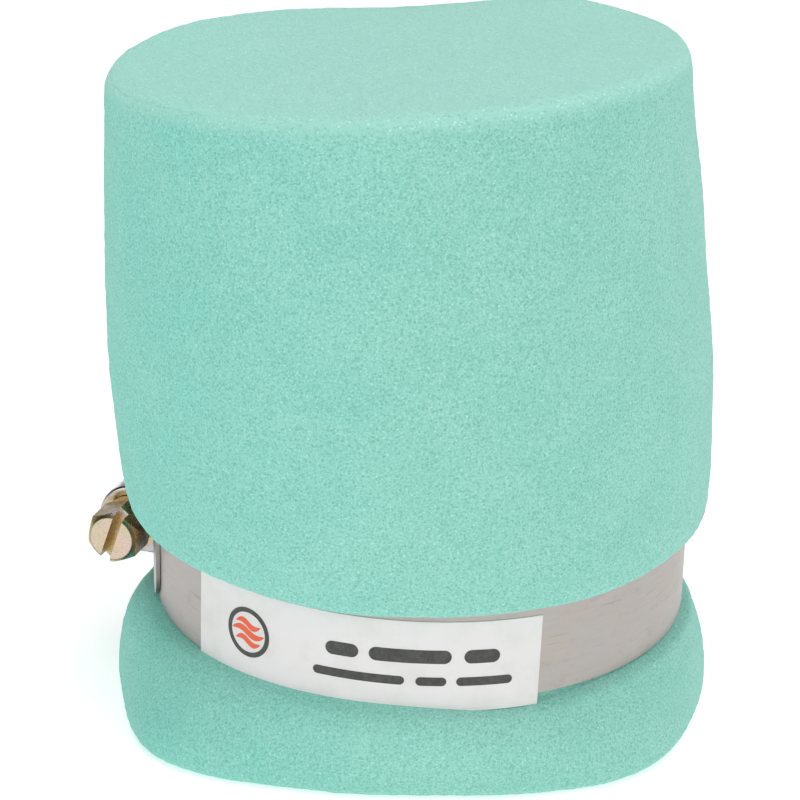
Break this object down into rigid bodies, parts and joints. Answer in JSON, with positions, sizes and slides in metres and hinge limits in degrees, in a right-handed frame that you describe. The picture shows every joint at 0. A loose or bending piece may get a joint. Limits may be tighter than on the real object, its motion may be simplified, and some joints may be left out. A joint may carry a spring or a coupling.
{
  "type": "clamp-on pod air filter",
  "caption": "Cylindrical two-stage foam pod air filter with a flared skirt, a rubber clamp-on neck and a worm-drive steel band clamp round its waist.",
  "frame": {"origin": "centre of the neck's mouth, where the spigot enters", "axes": "+Z along the neck's axis to the closed foam end; the clamp's screw is on the -X side with its head towards -Y; the label faces -Y"},
  "size_m": [0.0998, 0.0946, 0.1],
  "materials": {
    "foam_coarse": "pale teal-green open-cell foam",
    "foam_fine": "deeper teal fine-cell foam",
    "neck_rubber": "matt black moulded rubber",
    "spring_wire": "drawn wire",
    "band_steel": "matt rolled stainless",
    "housing_steel": "bright pressed stainless",
    "plated_screw": "yellow zinc plate",
    "label_paper": "white printed sticker"
  },
  "bodies": {
    "neck": {"rubber_neck": "neck_rubber", "support_spring": "spring_wire"},
    "foam_element": {"inner_foam_sleeve": "foam_fine", "inner_foam_end": "foam_fine", "outer_foam_sleeve": "foam_coarse", "outer_foam_end": "foam_coarse", "clamp_band": "band_steel", "clamp_saddle": "housing_steel", "clamp_housing": "housing_steel", "label": "label_paper"},
    "worm_screw": {"clamp_screw": "plated_screw"},
    "tail": {"band_tail": "band_steel"}
  },
  "joints": [
    {"name": "element_lift", "type": "slide", "parent": "neck", "child": "foam_element", "axis": [0, 0, 1], "range_m": [0, 0.09]},
    {"name": "screw_turn", "type": "hinge", "parent": "foam_element", "child": "worm_screw", "pos_m": [-0.04438, 0.01247, 0.02115], "axis": [0.2706, 0.9627, 0], "range_deg": [-1080, 1080]},
    {"name": "tail_feed", "type": "hinge", "parent": "foam_element", "child": "tail", "pos_m": [0, 0, 0.02115], "axis": [0, 0, 1], "range_deg": [-13.2, 13.2]}
  ],
  "couplings": [
    {"joint": "tail_feed", "follows": "screw_turn", "ratio": 0.012117}
  ]
}
